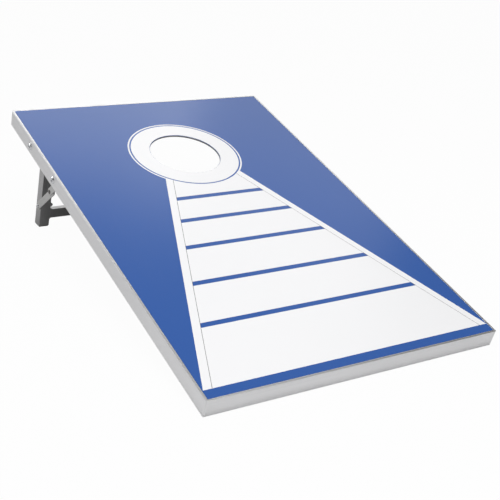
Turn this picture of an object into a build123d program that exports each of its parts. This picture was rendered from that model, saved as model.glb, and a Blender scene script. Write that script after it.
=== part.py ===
from build123d import *
import math
import os

# Cornhole board: an aluminium frame round a printed panel with one hole, held at a slope by a
# pair of folding legs. Millimetres, degrees. The board is drawn lying flat, with its top face at
# z = 0, its low end at y = 0 and its middle at x = 0, and is tilted onto its feet at the end.

# board
board_length = 914.4
board_width = 609.6
hole_diameter = 152.4
hole_to_high_end = 228.6
slope = 13.2

# frame
frame_height = 34.0
frame_width = 19.0
frame_wall = 1.6
lip_width = 4.2
lip_round = 0.8
edge_radius = 0.6
bottom_radius = 1.0
corner_radius = 3.0

# panel
panel_thickness = 4.0
panel_recess = 0.3
panel_gap = 0.25
hole_edge_radius = 0.6

# corner keys, inside the frame
key_reach = 62.0
key_gap = 0.2
key_screw_place = 42.0

# support ribs under the panel
rib_places = {"low": 230.0, "high": 480.0}
rib_width = 25.0
rib_height = 20.0
rib_wall = 1.5
bracket_size = 20.0
bracket_height = 16.0
bracket_thickness = 2.0

# legs
pivot_y = 792.2
pivot_z = -17.3
leg_lean = 1.0
leg_width = 22.0
leg_depth = 25.0
leg_wall = 1.5
leg_side = 31.0
front_to_pivot = 10.2
leg_top_radius = 10.2
bush_top = 8.8
bush_length = 26.0
foot_sole = 2.0
foot_inset = 1.2
foot_plug = 16.0

# crossbar between the legs
bar_top = 156.0
bar_height = 22.0
bar_depth = 10.0
bar_wall = 1.2
weld_radius = 2.5

# folding stays: an upper link on the frame and a lower link on the leg, which meet at an elbow
stay_pivot_y = 660.8
stay_to_leg_pivot = 149.5
stay_leg_offset = -1.1
stay_width = 16.0
stay_thickness = 2.0
upper_side = 20.6
lower_side = 27.6
side_gap = 0.15
elbow_gap = 0.05
rivet_head_radius = 4.75
rivet_head_height = 1.2
rivet_chamfer = 0.7
rivet_cap_chamfer = 0.6
fold_angle = 90.0 - leg_lean

# fasteners: a head is its radius and its height
bolt_radius = 3.0
bolt_head = (8.5, 3.8)
small_bolt_radius = 2.5
small_bolt_head = (4.75, 2.8)
running_gap = 0.06
hole_gap = 0.1
washer_thickness = 1.0
washer_radius = 6.5
small_washer_radius = 5.0
sleeve_radius = 5.0
nut_across_flats = 10.0
nut_height = 6.0
thin_nut_height = 3.0
small_nut_across_flats = 8.0
small_nut_height = 4.7
nut_chamfer = 0.5
thread_past_nut = 1.5
thread_past_thin_nut = 0.4
thread_past_small_nut = 1.8
screw_radius = 1.75
screw_head = (3.5, 2.2)
screw_length = 9.0

# the cross recess in a head, as shares of the head's radius and height
recess_length = 1.1
recess_width = 0.24
recess_depth = 0.6

# how far a cut runs past the piece it is made in
over = 1.0

half_width = board_width / 2
inner_width = board_width - 2 * frame_width
panel_underside = -panel_recess - panel_thickness
key_width = frame_width - 2 * frame_wall - 2 * key_gap
key_top = panel_underside - frame_wall - key_gap
key_bottom = -frame_height + frame_wall + key_gap
key_screw_z = (key_top + key_bottom) / 2
bracket_z = panel_underside - rib_height / 2
bracket_reach = (rib_width + bracket_size + bracket_thickness) / 2
bolt_bore = bolt_radius + hole_gap
leg_inside = leg_side + leg_width
pivot_nut_start = leg_inside + side_gap + washer_thickness


def turned(y, z, angle):
    """The point (y, z) turned about the x axis through the origin."""
    c = math.cos(math.radians(angle))
    s = math.sin(math.radians(angle))
    return y * c - z * s, y * s + z * c


def stay_geometry():
    """The link lengths, and their angle from +y with the leg out: straight then, folded flat later."""
    leg_y, leg_z = turned(stay_leg_offset, -stay_to_leg_pivot, -leg_lean)
    reach_y = pivot_y + leg_y - stay_pivot_y
    reach_z = leg_z
    folded_y, folded_z = turned(leg_y, leg_z, -fold_angle)
    out = math.hypot(reach_y, reach_z)
    folded = math.hypot(pivot_y + folded_y - stay_pivot_y, folded_z)
    return (out - folded) / 2, (out + folded) / 2, math.degrees(math.atan2(reach_z, reach_y))


upper_length, lower_length, stay_angle = stay_geometry()
pivot_height = turned(pivot_y, pivot_z + frame_height, slope)[1]
leg_length = pivot_height / math.cos(math.radians(slope - leg_lean)) + leg_depth


def along_x(x, y, z, solid):
    """A solid drawn along +z, laid along +x with its base at (x, y, z)."""
    return Pos(x, y, z) * Rot(0, 90, 0) * solid


def rod(start, end, radius, y=0.0, z=0.0):
    """A round bar along x between two distances from the left face."""
    bar = Cylinder(radius, end - start, align=(Align.CENTER, Align.CENTER, Align.MIN))
    return along_x(start - half_width, y, z, bar)


def ring(start, end, outer, inner, y=0.0, z=0.0):
    return rod(start, end, outer, y, z) - rod(start - over, end + over, inner, y, z)


def right_side(shape):
    return mirror(shape, about=Plane.YZ)


def pair(shape):
    """A piece on the left and its twin on the right, as one group of solids."""
    return Compound(children=list(shape.solids()) + list(right_side(shape).solids()))


def frame_profile():
    """Hollow section, seen along the member: x inward from the outer face, y up."""
    step = panel_underside
    outline = Polyline(
        (0, -frame_height), (0, 0), (lip_width, 0), (lip_width, step),
        (frame_width, step), (frame_width, -frame_height), close=True,
    )
    face = make_face(outline)
    face = fillet(face.vertices().group_by(Axis.Y)[-1].sort_by(Axis.X)[0], lip_round)
    face = fillet(face.vertices().group_by(Axis.Y)[-1].sort_by(Axis.X)[-1], edge_radius)
    face = fillet(face.vertices().group_by(Axis.Y)[0], bottom_radius)
    hollow_top = step - frame_wall
    hollow_bottom = -frame_height + frame_wall
    hollow = Rectangle(
        frame_width - 2 * frame_wall, hollow_top - hollow_bottom, align=(Align.MIN, Align.MIN)
    )
    return face - Pos(frame_wall, hollow_bottom) * hollow


def frame_member(length):
    """A member along +y with its outer face at x = 0 and a 45 degree mitre at each end."""
    bar = extrude(Plane.XZ * frame_profile(), -length)
    plan = make_face(Polyline(
        (0, 0), (frame_width, frame_width), (frame_width, length - frame_width), (0, length),
        close=True,
    ))
    return bar & Pos(0, 0, -2 * frame_height) * extrude(plan, 3 * frame_height)


def rounded_plan():
    """A prism with the board's outline in plan, its four corners rounded."""
    plan = RectangleRounded(board_width, board_length, corner_radius)
    return Pos(0, board_length / 2, -2 * frame_height) * extrude(plan, 3 * frame_height)


def side_holes():
    """The bolt holes through the left member, and the screw holes in its inner wall."""
    cut = rod(-over, frame_width + over, bolt_bore, pivot_y, pivot_z)
    cut += rod(-over, frame_width + over, bolt_bore, stay_pivot_y, pivot_z)
    start = frame_width - frame_wall - over
    end = frame_width + over
    for place in (key_screw_place, board_length - key_screw_place):
        cut += rod(start, end, screw_radius, place, key_screw_z)
    for centre in rib_places.values():
        cut += rod(start, end, screw_radius, centre + bracket_reach, bracket_z)
    return cut


def end_holes():
    """The two key screw holes in the inner wall of the low end member."""
    start = frame_width - frame_wall - over
    depth = frame_wall + 2 * over
    hole = Cylinder(screw_radius, depth, align=(Align.CENTER, Align.CENTER, Align.MIN))
    place = half_width - key_screw_place
    cut = Pos(-place, start, key_screw_z) * Rot(-90, 0, 0) * hole
    return cut + right_side(cut)


def turned_to_high_end(shape):
    return Pos(0, board_length, 0) * Rot(0, 0, 180) * shape


def frame_members():
    rounded = rounded_plan()
    left = (Pos(-half_width, 0, 0) * frame_member(board_length)) & rounded
    left -= side_holes()
    low = (Pos(half_width, 0, 0) * Rot(0, 0, 90) * frame_member(board_width)) & rounded
    low -= end_holes()
    return {
        "frame_left": left,
        "frame_right": right_side(left),
        "frame_low_end": low,
        "frame_high_end": turned_to_high_end(low),
    }


def corner_key():
    """An L-shaped cast block that fills the frame's hollow round the low left corner."""
    inset = frame_wall + key_gap
    plan = make_face(Polyline(
        (inset, inset), (inset, key_reach), (inset + key_width, key_reach),
        (inset + key_width, inset + key_width), (key_reach, inset + key_width),
        (key_reach, inset), close=True,
    ))
    block = Pos(-half_width, 0, key_bottom) * extrude(plan, key_top - key_bottom)
    block -= rod(inset, frame_width, screw_radius, key_screw_place, key_screw_z)
    hole = Cylinder(screw_radius, frame_width, align=(Align.CENTER, Align.CENTER, Align.MIN))
    block -= Pos(key_screw_place - half_width, inset, key_screw_z) * Rot(-90, 0, 0) * hole
    return block


def domed_screw(length, radius, head_size):
    """A screw along +z, head below z = 0: domed, with a cross recess."""
    head_radius, drop = head_size
    shank = Cylinder(radius, length, align=(Align.CENTER, Align.CENTER, Align.MIN))
    dome = (head_radius**2 + drop**2) / (2 * drop)
    head = Pos(0, 0, dome - drop) * Sphere(dome)
    head &= Cylinder(head_radius, drop, align=(Align.CENTER, Align.CENTER, Align.MAX))
    size = recess_length * head_radius, recess_width * head_radius, recess_depth * drop
    for angle in (0, 90):
        slot = Box(*size, align=(Align.CENTER, Align.CENTER, Align.MIN))
        head -= Rot(0, 0, angle) * Pos(0, 0, -drop) * slot
    return head + shank


def corner_keys():
    low_left = corner_key()
    keys = {"corner_key_low_left": low_left, "corner_key_low_right": right_side(low_left)}
    for side in ("left", "right"):
        other = "right" if side == "left" else "left"
        keys["corner_key_high_" + side] = turned_to_high_end(keys["corner_key_low_" + other])
    return keys


def small_screw():
    return domed_screw(screw_length, screw_radius, screw_head)


def corner_key_screws():
    """Two screws into each key, one through the inner wall of each member."""
    side = Pos(frame_width - half_width, key_screw_place, key_screw_z) * Rot(0, -90, 0) * small_screw()
    end = Pos(key_screw_place - half_width, frame_width, key_screw_z) * Rot(90, 0, 0) * small_screw()
    low = [side, end, right_side(side), right_side(end)]
    return Compound(children=low + [turned_to_high_end(screw) for screw in low])


def playing_panel():
    width = board_width - 2 * (lip_width + panel_gap)
    length = board_length - 2 * (lip_width + panel_gap)
    sheet = Box(width, length, panel_thickness, align=(Align.CENTER, Align.CENTER, Align.MIN))
    sheet = Pos(0, board_length / 2, panel_underside) * sheet
    hole = Pos(0, board_length - hole_to_high_end, 0) * Cylinder(hole_diameter / 2, 4 * panel_thickness)
    sheet -= hole
    rims = sheet.edges().filter_by(GeomType.CIRCLE)
    return fillet(rims, hole_edge_radius)


def support_rib(centre):
    """A rectangular tube across the board, tight under the panel."""
    solid = Box(inner_width, rib_width, rib_height)
    bore = Box(inner_width + 2 * over, rib_width - 2 * rib_wall, rib_height - 2 * rib_wall)
    solid -= bore
    solid = Pos(0, centre, panel_underside - rib_height / 2) * solid
    hole = rib_screw_place(centre) * Cylinder(screw_radius, 2 * screw_length)
    return solid - hole - right_side(hole)


def rib_screw_place(centre):
    """Where the screw goes through the bracket into the rib's side: its head faces the high end."""
    x = frame_width + bracket_thickness + bracket_size / 2 - half_width
    return Pos(x, centre + rib_width / 2 + bracket_thickness, bracket_z) * Rot(90, 0, 0)


def rib_bracket(centre):
    """An angle in the corner between the frame's inner wall and the rib's side."""
    x = frame_width - half_width
    y = centre + rib_width / 2
    reach = bracket_size + bracket_thickness
    low = (Align.MIN, Align.MIN, Align.CENTER)
    on_frame = Pos(x, y, bracket_z) * Box(bracket_thickness, reach, bracket_height, align=low)
    on_rib = Pos(x, y, bracket_z) * Box(reach, bracket_thickness, bracket_height, align=low)
    angle = on_frame + on_rib
    angle -= rib_screw_place(centre) * Cylinder(screw_radius + hole_gap, 3 * bracket_thickness)
    start = frame_width - over
    end = frame_width + bracket_thickness + over
    return angle - rod(start, end, screw_radius + hole_gap, centre + bracket_reach, bracket_z)


def rib_bracket_screws():
    screws = []
    for centre in rib_places.values():
        side = Pos(frame_width + bracket_thickness - half_width, centre + bracket_reach, bracket_z)
        to_frame = side * Rot(0, -90, 0) * small_screw()
        to_rib = rib_screw_place(centre) * small_screw()
        for screw in (to_frame, to_rib):
            screws += [screw, right_side(screw)]
    return Compound(children=screws)


def frame_bolt(length, y):
    """A domed bolt from the outer face, head outside."""
    return along_x(-half_width, y, pivot_z, domed_screw(length, bolt_radius, bolt_head))


def hex_nut(start, height, across_flats, bore, y, z):
    body = extrude(RegularPolygon(across_flats / 2, 6, major_radius=False), height)
    body -= Cylinder(bore, 3 * height)
    return along_x(start - half_width, y, z, chamfer(outer_nut_edges(body), nut_chamfer))


def outer_nut_edges(body):
    ends = body.faces().filter_by(Axis.Z)
    return [edge for face in ends for edge in face.outer_wire().edges()]


def board_fasteners():
    at_leg = pivot_y, pivot_z
    at_stay = stay_pivot_y, pivot_z
    stay_nut_start = upper_side + stay_thickness + side_gap
    leg_bolt_length = pivot_nut_start + nut_height + thread_past_nut
    stay_bolt_length = stay_nut_start + thin_nut_height + thread_past_thin_nut
    sleeve = frame_wall, frame_width - frame_wall, sleeve_radius, bolt_bore
    nut = nut_across_flats, bolt_radius
    return {
        "leg_pivot_bolts": pair(frame_bolt(leg_bolt_length, pivot_y)),
        "leg_pivot_spacers": pair(
            ring(frame_width, leg_side - side_gap, washer_radius, bolt_bore, *at_leg)
        ),
        "leg_pivot_washers": pair(
            ring(leg_inside + side_gap, pivot_nut_start, washer_radius, bolt_bore, *at_leg)
        ),
        "leg_pivot_nuts": pair(hex_nut(pivot_nut_start, nut_height, *nut, *at_leg)),
        "stay_frame_bolts": pair(frame_bolt(stay_bolt_length, stay_pivot_y)),
        "stay_frame_washers": pair(
            ring(frame_width, upper_side - side_gap, washer_radius, bolt_bore, *at_stay)
        ),
        "stay_frame_nuts": pair(hex_nut(stay_nut_start, thin_nut_height, *nut, *at_stay)),
        "frame_bolt_sleeves": Compound(children=[
            *pair(ring(*sleeve, *at_leg)).solids(),
            *pair(ring(*sleeve, *at_stay)).solids(),
        ]),
    }


# A leg is drawn upright, with its pivot at y = 0, z = 0 and its foot towards -z, then leaned.

def leaned(shape):
    return Pos(0, pivot_y, pivot_z) * Rot(-leg_lean, 0, 0) * shape


def leg_column(inset, top, bottom):
    """The leg's outline shrunk by inset, as a block from top down to bottom."""
    block = Box(
        leg_width - 2 * inset, leg_depth - 2 * inset, top - bottom,
        align=(Align.MIN, Align.MIN, Align.MIN),
    )
    return Pos(leg_side + inset - half_width, inset - front_to_pivot, bottom) * block


def rounded_top(block, radius, back):
    """Trims the top front corner to an arc about the pivot, so that it clears the panel."""
    width = leg_width + 2 * over
    keep = rod(leg_side - over, leg_inside + over, radius)
    low = Pos(leg_side - over - half_width, -leg_depth, -leg_length)
    keep += low * Box(width, 2 * leg_depth, leg_length, align=(Align.MIN,) * 3)
    high = Pos(leg_side - over - half_width, 0, -over)
    keep += high * Box(width, back, radius + over, align=(Align.MIN,) * 3)
    return block & keep


def above_floor(shape, height):
    """Cuts a leaned shape off level, at a height above the floor that the board stands on."""
    size = 2 * board_length
    slab = Box(size, size, size, align=(Align.CENTER, Align.CENTER, Align.MIN))
    return shape & on_slope(Pos(0, 0, height) * slab, -1)


def on_slope(shape, way=1):
    """The board laid on its slope, low end on the floor at z = 0, or with way -1 laid flat again."""
    low_y, low_z = turned(bottom_radius, bottom_radius - frame_height, slope)
    lift = bottom_radius - low_z
    if way > 0:
        return Pos(0, 0, lift) * Rot(slope, 0, 0) * shape
    return Rot(-slope, 0, 0) * Pos(0, 0, -lift) * shape


def leg_tube():
    top = leg_top_radius + over
    start = leg_side - over
    end = leg_inside + over
    tube = rounded_top(leg_column(0, top, -leg_length), leg_top_radius, leg_depth)
    tube -= leg_column(leg_wall, top + over, -leg_length - over)
    tube -= rod(start, end, bolt_radius + running_gap)
    tube -= rod(start, end, small_bolt_radius + hole_gap, stay_leg_offset, -stay_to_leg_pivot)
    return above_floor(leaned(tube), foot_sole)


def pivot_bush():
    """A nylon block inside the top of the leg, which turns on the pivot bolt."""
    block = leg_column(leg_wall + hole_gap, bush_top, bush_top - bush_length)
    block = rounded_top(block, leg_top_radius - leg_wall, leg_depth)
    return leaned(block - rod(leg_side - over, leg_inside + over, bolt_radius + running_gap))


def foot_cap():
    """A plug in the tube's foot with a level sole."""
    whole_leg = leaned(leg_column(0, over, -leg_length))
    sole = above_floor(leaned(leg_column(foot_inset, 0, -leg_length)), 0)
    sole -= above_floor(whole_leg, foot_sole)
    plug = above_floor(leaned(leg_column(leg_wall + hole_gap, 0, -leg_length)), foot_sole)
    plug -= above_floor(whole_leg, foot_plug)
    return sole + plug


def leg_crossbar():
    span = board_width - 2 * leg_inside
    solid = Box(span, bar_depth, bar_height, align=(Align.CENTER, Align.MIN, Align.MAX))
    bore = Box(
        span + 2 * over, bar_depth - 2 * bar_wall, bar_height - 2 * bar_wall,
        align=(Align.CENTER, Align.MIN, Align.MAX),
    )
    solid -= Pos(0, bar_wall, -bar_wall) * bore
    return leaned(Pos(0, -front_to_pivot, -bar_top) * solid)


def crossbar_welds():
    """Quarter round beads behind and under each end of the crossbar."""
    x = leg_inside - half_width
    back = bar_depth - front_to_pivot
    foot = -bar_top - bar_height
    behind = Pos(x, back, foot) * Cylinder(
        weld_radius, bar_height, align=(Align.CENTER, Align.CENTER, Align.MIN))
    under = Pos(x, -front_to_pivot, foot) * Rot(-90, 0, 0) * Cylinder(
        weld_radius, bar_depth, align=(Align.CENTER, Align.CENTER, Align.MIN))
    room = Pos(x, back, foot) * Box(weld_radius, weld_radius, bar_height, align=(Align.MIN,) * 3)
    behind &= room
    room = Pos(x, -front_to_pivot, foot) * Box(
        weld_radius, bar_depth, weld_radius, align=(Align.MIN, Align.MIN, Align.MAX))
    under &= room
    return pair(leaned(Compound(children=[*behind.solids(), *under.solids()])))


def leg_fasteners():
    place = stay_leg_offset, -stay_to_leg_pivot
    bore = small_bolt_radius + hole_gap
    start = lower_side - side_gap
    nut_start = leg_inside + washer_thickness
    length = nut_start + small_nut_height + thread_past_small_nut - start
    bolt = domed_screw(length, small_bolt_radius, small_bolt_head)
    bolt = along_x(start - half_width, *place, bolt)
    nut = hex_nut(nut_start, small_nut_height, small_nut_across_flats, small_bolt_radius, *place)
    spacer_start = lower_side + stay_thickness + side_gap
    return {
        "stay_leg_bolts": pair(leaned(bolt)),
        "stay_leg_spacers": pair(
            leaned(ring(spacer_start, leg_side, small_washer_radius, bore, *place))
        ),
        "stay_leg_washers": pair(
            leaned(ring(leg_inside, nut_start, small_washer_radius, bore, *place))
        ),
        "stay_leg_nuts": pair(leaned(nut)),
    }


def link(side, length, angle, first_bore, start_y, start_z):
    """A flat bar with round ends, from a bored end at the start to a rivet hole at the elbow."""
    plan = SlotCenterToCenter(length, stay_width)
    plan = Pos(length / 2, 0) * plan - Circle(first_bore)
    plan -= Pos(length, 0) * Circle(small_bolt_radius)
    bar = extrude(plan, stay_thickness)
    upright = Plane(origin=(side - half_width, start_y, start_z), x_dir=(0, 1, 0), z_dir=(1, 0, 0))
    return upright * Rot(0, 0, angle) * bar


def elbow():
    c = math.cos(math.radians(stay_angle))
    s = math.sin(math.radians(stay_angle))
    return stay_pivot_y + upper_length * c, pivot_z + upper_length * s


def elbow_rivets():
    """The elbow's rivet in two halves, one fixed in each link, which meet between the links."""
    y, z = elbow()
    head = rivet_head_radius
    upper_back = upper_side + stay_thickness
    lower_back = lower_side + stay_thickness
    middle = (upper_back + lower_side) / 2
    outer = rod(upper_side - rivet_head_height, upper_side, head, y, z)
    outer = chamfer(outer.edges().group_by(Axis.X)[0], rivet_chamfer)
    outer += rod(upper_side, upper_back, small_bolt_radius, y, z)
    outer += rod(upper_back, middle - elbow_gap, head, y, z)
    inner = rod(middle + elbow_gap, lower_side, head, y, z)
    inner += rod(lower_side, lower_back, small_bolt_radius, y, z)
    cap = rod(lower_back, leg_side - 2 * side_gap, head, y, z)
    inner += chamfer(cap.edges().group_by(Axis.X)[-1], rivet_cap_chamfer)
    return outer, inner


def stays():
    leg_y, leg_z = turned(stay_leg_offset, -stay_to_leg_pivot, -leg_lean)
    upper = link(
        upper_side, upper_length, stay_angle, bolt_radius + running_gap, stay_pivot_y, pivot_z
    )
    lower = link(
        lower_side, lower_length, stay_angle + 180, small_bolt_radius + running_gap,
        pivot_y + leg_y, pivot_z + leg_z,
    )
    outer, inner = elbow_rivets()
    nodes = {}
    for name, solid in (
        ("stay_upper", upper), ("stay_lower", lower),
        ("elbow_rivet_outer", outer), ("elbow_rivet_inner", inner),
    ):
        nodes[name + "_left"] = solid
        nodes[name + "_right"] = right_side(solid)
    return nodes


def flat_nodes():
    nodes = {"playing_panel": playing_panel(), **frame_members(), **corner_keys()}
    nodes["corner_key_screws"] = corner_key_screws()
    for place, centre in rib_places.items():
        nodes["support_rib_" + place] = support_rib(centre)
        bracket = rib_bracket(centre)
        nodes["rib_bracket_" + place + "_left"] = bracket
        nodes["rib_bracket_" + place + "_right"] = right_side(bracket)
    nodes["rib_bracket_screws"] = rib_bracket_screws()
    nodes.update(board_fasteners())
    for name, solid in (
        ("leg", leg_tube()), ("leg_pivot_bush", pivot_bush()), ("foot_cap", foot_cap()),
    ):
        nodes[name + "_left"] = solid
        nodes[name + "_right"] = right_side(solid)
    nodes["leg_crossbar"] = leg_crossbar()
    nodes["crossbar_welds"] = crossbar_welds()
    nodes.update(leg_fasteners())
    nodes.update(stays())
    return nodes


def centring(nodes):
    """How far the sloping board moves along y to have its origin under the middle of its box."""
    box = Compound(children=[on_slope(shape) for shape in nodes.values()]).bounding_box()
    return -(box.min.Y + box.max.Y) / 2


os.makedirs("parts", exist_ok=True)
flat = flat_nodes()
shift = centring(flat)
for name, shape in flat.items():
    export_step(Pos(0, shift, 0) * on_slope(shape), "parts/" + name + ".step")
print("links", round(upper_length, 3), round(lower_length, 3), "shift", round(shift, 4))
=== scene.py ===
import math

import bpy
import numpy as np
from mathutils import Matrix, Vector


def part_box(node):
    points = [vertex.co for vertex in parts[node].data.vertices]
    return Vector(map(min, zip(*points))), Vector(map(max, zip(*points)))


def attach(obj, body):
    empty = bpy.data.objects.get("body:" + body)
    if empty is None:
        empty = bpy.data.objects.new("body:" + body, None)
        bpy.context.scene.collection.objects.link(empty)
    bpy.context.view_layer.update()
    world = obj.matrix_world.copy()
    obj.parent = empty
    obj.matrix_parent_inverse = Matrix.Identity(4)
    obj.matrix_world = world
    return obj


# A sloping bag-toss board: a printed panel with a round hole, an aluminium frame, folding legs and stays.
# Metres throughout. Most of it is worked out on the board lying flat, and then laid on its slope.

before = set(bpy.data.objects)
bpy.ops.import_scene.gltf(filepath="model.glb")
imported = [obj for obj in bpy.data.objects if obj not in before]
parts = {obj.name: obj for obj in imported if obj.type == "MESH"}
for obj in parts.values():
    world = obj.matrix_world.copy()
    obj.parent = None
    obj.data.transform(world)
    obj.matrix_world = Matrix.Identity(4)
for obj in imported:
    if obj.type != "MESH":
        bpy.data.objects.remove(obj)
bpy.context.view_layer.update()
print("frame loaded:", len(parts), "parts")

# the board lying flat: x across with 0 in the middle, y up from the low end, z up with 0 at the lip's top
board = {
    "width": 0.6096,
    "slope": math.radians(13.2),
    "holeRadius": 0.0762,
    "holePlace": 0.6858,       # the hole's centre, from the low end
    "panelDrop": 0.0003,       # how far the panel's face lies below the frame's lip
    "panelThickness": 0.004,
}
slopeCos, slopeSin = math.cos(board["slope"]), math.sin(board["slope"])


def boardOrigin():
    # the middle of the low end's top edge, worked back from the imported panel's own lowest corner
    low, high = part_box("playing_panel")
    inset = (board["width"] - (high.x - low.x)) / 2
    under = board["panelDrop"] + board["panelThickness"]
    y = low.y - inset * slopeCos - board["panelDrop"] * slopeSin
    return Vector((0.0, y, low.z - inset * slopeSin + under * slopeCos))


origin = boardOrigin()


def onBoard(across, along, up):
    # points of the flat board, turned about its low edge by the slope
    across, along, up = np.broadcast_arrays(across, along, up)
    y = origin.y + along * slopeCos - up * slopeSin
    return np.stack([across, y, origin.z + along * slopeSin + up * slopeCos], axis=-1)


# short ways to build nodes

def give(tree, node, key, value):
    # an input takes either a value or a link from another socket
    if isinstance(value, bpy.types.NodeSocket):
        tree.links.new(value, node.inputs[key])
    else:
        node.inputs[key].default_value = value


def put(tree, kind, values=None, **settings):
    node = tree.nodes.new("ShaderNode" + kind)
    for key, value in settings.items():
        setattr(node, key, value)
    for key, value in (values or {}).items():
        give(tree, node, key, value)
    return node


def newGroup(name, inputs, outputs):
    # the sockets are given as label and kind; the group's own ends come back with it
    group = bpy.data.node_groups.new(name, "ShaderNodeTree")
    for side, sockets in (("INPUT", inputs), ("OUTPUT", outputs)):
        for label, kind in sockets.items():
            group.interface.new_socket(label, in_out=side, socket_type="NodeSocket" + kind)
    return group, group.nodes.new("NodeGroupInput").outputs, group.nodes.new("NodeGroupOutput")


def ramp(tree, value, low, high, toLow=0.0, toHigh=1.0):
    limits = {"From Min": low, "From Max": high, "To Min": toLow, "To Max": toHigh}
    return put(tree, "MapRange", {"Value": value, **limits}).outputs["Result"]


def mixColour(tree, share, first, second):
    return put(tree, "Mix", {0: share, 6: first, 7: second}, data_type="RGBA").outputs[2]


def mixNumber(tree, share, first, second):
    return put(tree, "Mix", {0: share, 2: first, 3: second}, data_type="FLOAT").outputs[0]


def combine(tree, operation, first, second):
    return put(tree, "Math", {0: first, 1: second}, operation=operation).outputs[0]


def swing(tree, value, amount):
    # a noise from 0 to 1 made to swing about 0 by the amount
    return combine(tree, "MULTIPLY", combine(tree, "SUBTRACT", value, 0.5), amount)


def shade(tree, colour, first, second):
    # a colour made lighter and darker by two swings
    light = combine(tree, "ADD", combine(tree, "ADD", first, second), 1.0)
    grey = put(tree, "CombineXYZ", {"X": light, "Y": light, "Z": light})
    return put(tree, "VectorMath", {0: colour, 1: grey.outputs[0]}, operation="MULTIPLY").outputs[0]


def turned(tree, vector, rotation):
    return put(tree, "Mapping", {"Vector": vector, "Rotation": rotation}).outputs[0]


def boardCoordinates(tree):
    # object coordinates turned back by the slope, so that x, y and z run across, along and up from the board
    where = put(tree, "TexCoord").outputs["Object"]
    place = (0.0, -(origin.y * slopeCos + origin.z * slopeSin), origin.y * slopeSin - origin.z * slopeCos)
    turn = (-board["slope"], 0, 0)
    return put(tree, "Mapping", {"Vector": where, "Location": place, "Rotation": turn}).outputs[0]


def newMaterial(name):
    material = bpy.data.materials.new(name)
    material.use_nodes = True
    return material, material.node_tree, material.node_tree.nodes["Principled BSDF"]


# effects that several materials share

grainTexture = {"detail": 3.0, "breakUp": 0.6, "cloudScale": 9.0, "cloudDetail": 2.0, "gloss": -0.8}
wearTexture = {"flat": 0.995, "sharp": 0.9, "samples": 4, "patchScale": 60.0, "patchDetail": 3.0,
               "patchLow": 0.4, "patchHigh": 0.62, "patchLeast": 0.35}
filmTexture = {"broadScale": 5.0, "broadDetail": 3.0, "fineScale": 520.0, "fineDetail": 1.0,
               "rubTurn": (0, 0, 0.5), "rubScale": (60, 6, 6), "rubDetail": 4.0, "rubBreakUp": 0.7}
mouldTexture = {"gritDetail": 2.0, "cloudScale": 30.0, "cloudDetail": 3.0, "low": 0.3, "high": 0.7,
                "gloss": 0.06}


def makeGrain(look):
    # long fine lines left by extruding or brushing: a noise squeezed across the lines and drawn out along them
    group, given, end = newGroup("metalGrain", {
        "Vector": "Vector", "Colour": "Color", "Along": "Float", "Across": "Float", "Contrast": "Float",
        "Roughness": "Float", "Cloud": "Float",
    }, {"Colour": "Color", "Roughness": "Float", "Height": "Float"})
    stretch = put(group, "CombineXYZ", {"X": given["Across"], "Y": given["Along"], "Z": given["Across"]})
    lined = put(group, "VectorMath", {0: given["Vector"], 1: stretch.outputs[0]}, operation="MULTIPLY")
    lines = put(group, "TexNoise", {"Vector": lined.outputs[0], "Scale": 1.0, "Detail": look["detail"],
                                    "Roughness": look["breakUp"]}).outputs[0]
    cloud = put(group, "TexNoise", {"Vector": given["Vector"], "Scale": look["cloudScale"],
                                    "Detail": look["cloudDetail"]}).outputs[0]
    tone = swing(group, lines, given["Contrast"])
    gloss = combine(group, "MULTIPLY", tone, look["gloss"])
    give(group, end, "Colour", shade(group, given["Colour"], tone, swing(group, cloud, given["Cloud"])))
    give(group, end, "Roughness", combine(group, "ADD", given["Roughness"], gloss))
    give(group, end, "Height", lines)
    return group


def makeWear(look):
    # paler, smoother metal where an edge has been handled: where a rounded normal leaves the true one
    group, given, end = newGroup("edgeWear", {
        "Vector": "Vector", "Colour": "Color", "Worn colour": "Color", "Radius": "Float", "Amount": "Float",
        "Roughness": "Float", "Worn roughness": "Float",
    }, {"Colour": "Color", "Roughness": "Float", "Normal": "Vector"})
    rounded = put(group, "Bevel", {"Radius": given["Radius"]}, samples=look["samples"]).outputs[0]
    surface = put(group, "NewGeometry").outputs["Normal"]
    alike = put(group, "VectorMath", {0: rounded, 1: surface}, operation="DOT_PRODUCT").outputs["Value"]
    edge = ramp(group, alike, look["flat"], look["sharp"])
    noise = put(group, "TexNoise", {"Vector": given["Vector"], "Scale": look["patchScale"],
                                    "Detail": look["patchDetail"]}).outputs[0]
    patches = ramp(group, noise, look["patchLow"], look["patchHigh"], look["patchLeast"], 1.0)
    mask = combine(group, "MULTIPLY", combine(group, "MULTIPLY", edge, patches), given["Amount"])
    give(group, end, "Colour", mixColour(group, mask, given["Colour"], given["Worn colour"]))
    give(group, end, "Roughness", mixNumber(group, mask, given["Roughness"], given["Worn roughness"]))
    give(group, end, "Normal", rounded)
    return group


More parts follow.
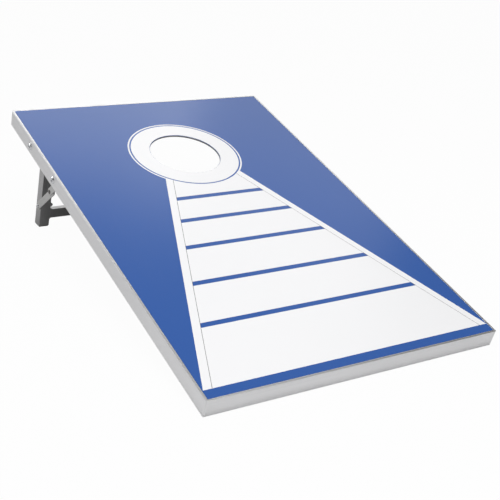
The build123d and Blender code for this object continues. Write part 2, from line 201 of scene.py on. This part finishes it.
def makeFilm(look):
    # a printed film: faint unevenness in the ink, a fine even texture, and light rub marks in its gloss
    group, given, end = newGroup("printedFilm", {
        "Vector": "Vector", "Colour": "Color", "Unevenness": "Float", "Roughness": "Float", "Rubbing": "Float",
    }, {"Colour": "Color", "Roughness": "Float", "Height": "Float"})
    broad = put(group, "TexNoise", {"Vector": given["Vector"], "Scale": look["broadScale"],
                                    "Detail": look["broadDetail"]}).outputs[0]
    fine = put(group, "TexNoise", {"Vector": given["Vector"], "Scale": look["fineScale"],
                                   "Detail": look["fineDetail"]}).outputs[0]
    rub = put(group, "Mapping", {"Vector": given["Vector"], "Rotation": look["rubTurn"],
                                 "Scale": look["rubScale"]})
    marks = put(group, "TexNoise", {"Vector": rub.outputs[0], "Scale": 1.0, "Detail": look["rubDetail"],
                                    "Roughness": look["rubBreakUp"]}).outputs[0]
    tone, fineTone = (swing(group, noise, given["Unevenness"]) for noise in (broad, fine))
    wear = swing(group, marks, given["Rubbing"])
    give(group, end, "Colour", shade(group, given["Colour"], tone, fineTone))
    give(group, end, "Roughness", combine(group, "ADD", given["Roughness"], wear))
    give(group, end, "Height", fine)
    return group


def makeMould(look):
    # moulded plastic: a fine spark-eroded texture, and two tones that drift into each other
    group, given, end = newGroup("mouldedPlastic", {
        "Vector": "Vector", "Colour": "Color", "Second": "Color", "Grit": "Float", "Roughness": "Float",
    }, {"Colour": "Color", "Roughness": "Float", "Height": "Float"})
    grit = put(group, "TexNoise", {"Vector": given["Vector"], "Scale": given["Grit"],
                                   "Detail": look["gritDetail"]}).outputs[0]
    cloud = put(group, "TexNoise", {"Vector": given["Vector"], "Scale": look["cloudScale"],
                                    "Detail": look["cloudDetail"]}).outputs[0]
    share = ramp(group, cloud, look["low"], look["high"])
    gloss = ramp(group, grit, look["low"], look["high"], -look["gloss"], look["gloss"])
    give(group, end, "Colour", mixColour(group, share, given["Colour"], given["Second"]))
    give(group, end, "Roughness", combine(group, "ADD", given["Roughness"], gloss))
    give(group, end, "Height", grit)
    return group


grainGroup, wearGroup = makeGrain(grainTexture), makeWear(wearTexture)
filmGroup, mouldGroup = makeFilm(filmTexture), makeMould(mouldTexture)
print("shared effects made")


def bumpFrom(tree, height, look, **normal):
    values = {"Height": height, "Strength": look["bump"], "Distance": look["bumpHeight"], **normal}
    return put(tree, "Bump", values).outputs[0]


def wearEdges(tree, shader, vector, surface, look):
    # the last step of every metal and plastic: worn edges over the surface's own colour, gloss and height
    wear = put(tree, "Group", {
        "Vector": vector, "Colour": surface.outputs["Colour"], "Roughness": surface.outputs["Roughness"],
        "Worn colour": (*look["wornColour"], 1), "Worn roughness": look["wornRoughness"],
        "Radius": look["edgeRadius"], "Amount": look["wear"],
    }, node_tree=wearGroup).outputs
    give(tree, shader, "Base Color", wear["Colour"])
    give(tree, shader, "Roughness", wear["Roughness"])
    give(tree, shader, "Normal", bumpFrom(tree, surface.outputs["Height"], look, Normal=wear["Normal"]))


def metal(name, look, turn=(0, 0, 0)):
    # grained metal; turn lays the grain along the piece
    material, tree, shader = newMaterial(name)
    vector = turned(tree, boardCoordinates(tree), turn)
    grain = put(tree, "Group", {
        "Vector": vector, "Colour": (*look["colour"], 1), "Along": look["along"], "Across": look["across"],
        "Contrast": look["contrast"], "Roughness": look["roughness"], "Cloud": look["cloud"],
    }, node_tree=grainGroup)
    wearEdges(tree, shader, vector, grain, look)
    give(tree, shader, "Metallic", look["metallic"])
    return material


def plastic(name, look):
    material, tree, shader = newMaterial(name)
    vector = boardCoordinates(tree)
    mould = put(tree, "Group", {
        "Vector": vector, "Colour": (*look["colour"], 1), "Second": (*look["second"], 1),
        "Grit": look["grit"], "Roughness": look["roughness"],
    }, node_tree=mouldGroup)
    wearEdges(tree, shader, vector, mould, look)
    return material


def filmMaterial(name, colour, look):
    material, tree, shader = newMaterial(name)
    vector = boardCoordinates(tree)
    film = put(tree, "Group", {
        "Vector": vector, "Colour": (*colour, 1), "Unevenness": look["unevenness"],
        "Roughness": look["roughness"], "Rubbing": look["rubbing"],
    }, node_tree=filmGroup).outputs
    give(tree, shader, "Base Color", film["Colour"])
    give(tree, shader, "Roughness", film["Roughness"])
    give(tree, shader, "Normal", bumpFrom(tree, film["Height"], look))
    return material, tree, shader, vector, film


def paint(nodeName, material):
    for slot in parts[nodeName].material_slots:
        slot.material = material


# the panel: a blue film on a grey core, which shows at the panel's edges and in the hole

panelLook = {
    "blue": (0.031, 0.103, 0.362),
    "roughness": 0.22,
    "unevenness": 0.05,
    "rubbing": 0.06,
    "bump": 0.06,
    "bumpHeight": 0.0001,
    "filmDepth": 0.00045,      # the film ends just over the hole's edge
    "core": (0.21, 0.21, 0.215),
    "coreSpeck": (0.30, 0.30, 0.30),
    "coreRoughness": 0.62,
    "speckScale": 700.0,
    "speckDetail": 2.0,
    "speckLow": 0.45,
    "speckHigh": 0.7,
}


def panelMaterial(look):
    material, tree, shader, vector, film = filmMaterial("blueFilmOnBoard", look["blue"], look)
    up = put(tree, "SeparateXYZ", {0: vector}).outputs["Z"]
    onTop = combine(tree, "GREATER_THAN", up, -board["panelDrop"] - look["filmDepth"])
    noise = put(tree, "TexNoise", {"Vector": vector, "Scale": look["speckScale"],
                                   "Detail": look["speckDetail"]})
    specks = ramp(tree, noise.outputs[0], look["speckLow"], look["speckHigh"])
    core = mixColour(tree, specks, (*look["core"], 1), (*look["coreSpeck"], 1))
    give(tree, shader, "Base Color", mixColour(tree, onTop, core, film["Colour"]))
    give(tree, shader, "Roughness", mixNumber(tree, onTop, look["coreRoughness"], film["Roughness"]))
    return material


paint("playing_panel", panelMaterial(panelLook))
print("panel painted")


# the printed pattern: thin white and grey films on the blue

pattern = {
    "thickness": 0.0001,
    "sunk": 0.00002,                # how far each film goes into the panel
    "white": (0.88, 0.88, 0.89),
    "grey": (0.13, 0.12, 0.13),
    "roughness": 0.24,
    "unevenness": 0.02,
    "rubbing": 0.06,
    "bump": 0.06,
    "bumpHeight": 0.0001,
    "holeMargin": 0.0007,           # from the hole's edge to the white ring
    "ringOuter": 0.1169,            # the white ring round the hole
    "haloInner": 0.1203,            # the thin white circle outside it
    "haloOuter": 0.1236,
    "low": 0.0234,                  # where the wedge starts, from the low end
    "apex": 0.8402,                 # where its two sides would meet
    "halfWidthAtZero": 0.30745,
    "border": 0.0158,               # each white border, measured across the board
    "line": 0.0009,                 # the thin grey line inside it
    "stripes": (0.1632, 0.2690, 0.3704, 0.4519, 0.5246),
    "stripeHeight": 0.0113,
    "roundSteps": 192,
    "ringColumns": 5,
    "haloColumns": 3,
    "borderGrid": (33, 7),          # rows up the board and columns across it
    "lineGrid": (33, 2),
    "fieldGrid": (5, 49),
    "settleSteps": 30,
}


def meshFromGrid(name, points, closed=False):
    # a grid of points, rows by columns, as quads; closed joins the last row to the first
    rows, columns = points.shape[:2]
    index = np.arange(rows * columns).reshape(rows, columns)
    if closed:
        index = np.vstack([index, index[:1]])
    quads = np.stack([index[:-1, :-1], index[1:, :-1], index[1:, 1:], index[:-1, 1:]], axis=-1)
    mesh = bpy.data.meshes.new(name)
    mesh.from_pydata(points.reshape(-1, 3).tolist(), [], quads.reshape(-1, 4).tolist())
    piece = bpy.data.objects.new(name, mesh)
    bpy.context.scene.collection.objects.link(piece)
    return piece


def filmPiece(name, across, along, material, closed=False):
    # a sheet laid on the panel's face, thickened downward until it just enters the panel
    top = -board["panelDrop"] + pattern["thickness"]
    piece = meshFromGrid(name, onBoard(across, along, top), closed)
    depth = piece.modifiers.new("thickness", "SOLIDIFY")
    depth.thickness = pattern["thickness"] + pattern["sunk"]
    depth.offset = -1
    piece.data.materials.append(material)
    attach(piece, "board")
    return piece


def ringPiece(name, inner, outer, columns, material):
    # a flat ring: one parameter turns round the hole and the other steps outward from it
    # the turn is clockwise, so that the faces look up
    turn = np.linspace(0, 2 * math.pi, pattern["roundSteps"], endpoint=False)[:, None]
    radius = np.linspace(inner, outer, columns)[None, :]
    filmPiece(name, radius * np.sin(turn), board["holePlace"] + radius * np.cos(turn), material, closed=True)


def wedgeHalf(along, inside):
    # half the wedge's width, falling in a straight line to its apex, less a distance in from its edge
    return pattern["halfWidthAtZero"] * (1 - along / pattern["apex"]) - inside


def ringEdge(across, radius):
    # the lower side of a circle about the hole
    return board["holePlace"] - np.sqrt(np.maximum(radius**2 - across**2, 0))


def bandPiece(name, left, right, low, high, grid, material):
    # a band between two lines of the wedge, left and right, that runs up to the circle where it reaches it
    # a line is its side, -1 or 1, and its distance in from the wedge's edge there
    step = np.linspace(0, 1, grid[0])[:, None]
    share = np.linspace(0, 1, grid[1])[None, :]

    def between(along):
        leftEdge, rightEdge = (side * wedgeHalf(along, inside) for side, inside in (left, right))
        return leftEdge + share * (rightEdge - leftEdge)

    top = np.full_like(share, high)
    if high > ringEdge(0.0, pattern["haloInner"]):
        for _ in range(pattern["settleSteps"]):     # each column's end settles where its own line meets the circle
            top = ringEdge(between(top), pattern["haloInner"])
    along = low + step * (top - low)
    filmPiece(name, between(along), along, material)


def layPattern(look):
    white = filmMaterial("whiteFilm", look["white"], look)[0]
    grey = filmMaterial("greyLineFilm", look["grey"], look)[0]
    ringInner = board["holeRadius"] + look["holeMargin"]
    ringPiece("print_ring", ringInner, look["ringOuter"], look["ringColumns"], white)
    ringPiece("print_halo", look["haloInner"], look["haloOuter"], look["haloColumns"], white)
    low, beyond = look["low"], board["holePlace"]
    borderEnd = look["border"]
    lineEnd = look["border"] + look["line"]
    for name, side in (("left", -1), ("right", 1)):
        # lines from the wedge's edge inward; on the right each pair is turned round, to run left to right
        outer, inner, field = ((side, inside) for inside in (0, borderEnd, lineEnd))
        bandPiece("print_border_" + name, *(outer, inner)[::-side], low, beyond, look["borderGrid"], white)
        bandPiece("print_line_" + name, *(inner, field)[::-side], low, beyond, look["lineGrid"], grey)
    half = look["stripeHeight"] / 2
    starts = [low] + [stripe + half for stripe in look["stripes"]]
    ends = [stripe - half for stripe in look["stripes"]] + [beyond]
    for number, (start, end) in enumerate(zip(starts, ends), 1):
        left, right = (-1, lineEnd), (1, lineEnd)
        bandPiece("print_field_%d" % number, left, right, start, end, look["fieldGrid"], white)


layPattern(pattern)
print("pattern laid")


# metal and plastic parts

frameLook = {
    "colour": (0.89, 0.89, 0.895), "metallic": 1.0, "roughness": 0.34, "along": 4.0, "across": 1100.0,
    "contrast": 0.16, "cloud": 0.06, "bump": 0.10, "bumpHeight": 0.0002, "wear": 0.5,
    "wornColour": (0.86, 0.86, 0.87), "wornRoughness": 0.28, "edgeRadius": 0.0009,
}
# legs and crossbar: the frame's metal, a little rougher, with a darker colour that is painted shade for their
# place under the board
legPaintedShadeLook = dict(frameLook, colour=(0.52, 0.52, 0.52), roughness=0.38, contrast=0.2)
millLook = dict(frameLook, colour=(0.55, 0.55, 0.56), roughness=0.52, contrast=0.3, wear=0.3)
castLook = dict(frameLook, colour=(0.42, 0.42, 0.43), roughness=0.6, along=300.0, across=300.0,
                contrast=0.35, bump=0.4)
stayLook = dict(frameLook, colour=(0.62, 0.62, 0.61), roughness=0.4, contrast=0.24, edgeRadius=0.0004)
zincLook = dict(frameLook, colour=(0.78, 0.79, 0.81), roughness=0.22, along=500.0, across=500.0,
                contrast=0.12, cloud=0.12, bump=0.05, wear=0.2, edgeRadius=0.0003)
# elbow rivets: the zinc plate made nearly black, a colour that is painted shade for the shaded gap at the stays'
# elbow
rivetPaintedShadeLook = dict(zincLook, colour=(0.17, 0.16, 0.16), roughness=0.36, wear=0.5, wornColour=(0.5, 0.5, 0.5))
nylonLook = {
    "colour": (0.022, 0.022, 0.024), "second": (0.03, 0.03, 0.032), "roughness": 0.5, "grit": 1800.0,
    "bump": 0.25, "bumpHeight": 0.0002, "wear": 0.4, "wornColour": (0.09, 0.09, 0.09),
    "wornRoughness": 0.35, "edgeRadius": 0.0006,
}
footLook = dict(nylonLook, colour=(0.03, 0.03, 0.032), second=(0.042, 0.042, 0.045))

# how the grain turns to run along a piece
acrossBoard = (0, 0, math.pi / 2)
upright = (math.pi / 2, 0, 0)
alongStay = (math.radians(38), 0, 0)


def paintMetal():
    frameAlong = metal("anodisedAlong", frameLook)
    frameAcross = metal("anodisedAcross", frameLook, acrossBoard)
    legs, bar = metal("legAluminiumPaintedShade", legPaintedShadeLook, upright), metal("barAluminiumPaintedShade", legPaintedShadeLook, acrossBoard)
    mill, cast = metal("millAluminium", millLook, acrossBoard), metal("castAluminium", castLook)
    stay = metal("staySteel", stayLook, alongStay)
    zinc, rivet = metal("zincPlate", zincLook), metal("rivetPaintedShade", rivetPaintedShadeLook)
    nylon, foot = plastic("blackNylon", nylonLook), plastic("footPlastic", footLook)
    starts = {      # the first that a part's name starts with holds, and bolts, nuts and the like are zinc
        "frame_left": frameAlong, "frame_right": frameAlong,
        "frame_low_end": frameAcross, "frame_high_end": frameAcross,
        "leg_left": legs, "leg_right": legs, "leg_crossbar": bar, "crossbar_welds": bar,
        "stay_upper": stay, "stay_lower": stay, "elbow_rivet": rivet,
        "corner_key_screws": zinc, "corner_key_": cast,
        "rib_bracket_screws": zinc, "rib_bracket_": mill, "support_rib": mill,
        "foot_cap": foot, "leg_pivot_bush": nylon,
    }
    for name in parts:
        if name != "playing_panel":
            paint(name, next((starts[start] for start in starts if name.startswith(start)), zinc))


paintMetal()
print("metal and plastic painted")


# floor, light and camera

def placeFloor():
    # it gives off light to the camera only, so that it looks as white as the backdrop
    floor = {"size": 30.0, "colour": (0.60, 0.60, 0.605), "roughness": 0.9, "glow": 0.97}
    half = floor["size"] / 2
    corners = [(-half, -half, 0), (half, -half, 0), (half, half, 0), (-half, half, 0)]
    mesh = bpy.data.meshes.new("floor")
    mesh.from_pydata(corners, [], [(0, 1, 2, 3)])
    piece = bpy.data.objects.new("floor", mesh)
    bpy.context.scene.collection.objects.link(piece)
    material, tree, shader = newMaterial("paleFloor")
    give(tree, shader, "Base Color", (*floor["colour"], 1))
    give(tree, shader, "Roughness", floor["roughness"])
    glow = put(tree, "Emission", {"Color": (1, 1, 1, 1), "Strength": 1.0})
    seen = put(tree, "LightPath").outputs["Is Camera Ray"]
    share = combine(tree, "MULTIPLY", seen, floor["glow"])
    both = put(tree, "MixShader", {0: share, 1: shader.outputs[0], 2: glow.outputs[0]})
    give(tree, tree.nodes["Material Output"], "Surface", both.outputs[0])
    mesh.materials.append(material)


studio = {
    "light": 0.14,                      # what the pieces receive from all round
    "backdrop": 1.0,                    # what is seen behind them
    "aim": Vector((0, 0, 0.12)),        # where every softbox looks
    "softboxes": {
        "backPanel": {"heading": 70, "height": 32, "distance": 8.0, "size": (3.5, 3.4), "radiance": 1.75},
        "rightPanel": {"heading": 45, "height": 32, "distance": 8.0, "size": (2.6, 3.4), "radiance": 0.95},
        "overhead": {"heading": 252, "height": 66, "distance": 2.6, "size": (1.9, 1.9), "radiance": 6.1},
        "leftFill": {"heading": 130, "height": 11, "distance": 3.0, "size": (1.6, 1.2), "radiance": 2.6},
    },
}


def softbox(name, look):
    # an area light that looks at the board from a heading, a height angle and a distance
    data = bpy.data.lights.new(name, "AREA")
    data.shape = "RECTANGLE"
    data.size, data.size_y = look["size"]
    data.energy = look["radiance"] * math.pi * look["size"][0] * look["size"][1]
    light = bpy.data.objects.new(name, data)
    heading, height = math.radians(look["heading"]), math.radians(look["height"])
    level = math.cos(height)
    away = Vector((level * math.cos(heading), level * math.sin(heading), math.sin(height)))
    light.location = studio["aim"] + away * look["distance"]
    light.rotation_euler = away.to_track_quat("Z", "Y").to_euler()
    bpy.context.scene.collection.objects.link(light)


def placeLights():
    world = bpy.data.worlds.new("studio")
    bpy.context.scene.world = world
    world.use_nodes = True
    tree = world.node_tree
    seen = put(tree, "LightPath").outputs["Is Camera Ray"]
    backdrop = tree.nodes["Background"]
    give(tree, backdrop, "Color", (1, 1, 1, 1))
    give(tree, backdrop, "Strength", ramp(tree, seen, 0.0, 1.0, studio["light"], studio["backdrop"]))
    for name, look in studio["softboxes"].items():
        softbox(name, look)


def placeCamera():
    view = {"heading": 33.597, "height": 23.028, "roll": 5.655, "distance": 1.7659, "lens": 69.626,
            "sensor": 36.0, "near": 0.05, "far": 60.0, "aim": Vector((-0.0647, -0.16485, 0.1314))}
    heading, height = math.radians(view["heading"]), math.radians(view["height"])
    level = math.cos(height)
    forward = Vector((level * math.sin(heading), level * math.cos(heading), -math.sin(height)))
    data = bpy.data.cameras.new("camera")
    data.lens, data.sensor_width = view["lens"], view["sensor"]
    data.clip_start, data.clip_end = view["near"], view["far"]
    camera = bpy.data.objects.new("camera", data)
    roll = Matrix.Rotation(math.radians(view["roll"]), 3, "Z").to_quaternion()
    camera.location = view["aim"] - forward * view["distance"]
    camera.rotation_euler = ((-forward).to_track_quat("Z", "Y") @ roll).to_euler()
    bpy.context.scene.collection.objects.link(camera)
    bpy.context.scene.camera = camera


placeFloor()
placeLights()
placeCamera()
bpy.context.scene.view_settings.view_transform = "Standard"
print("floor, light and camera placed")
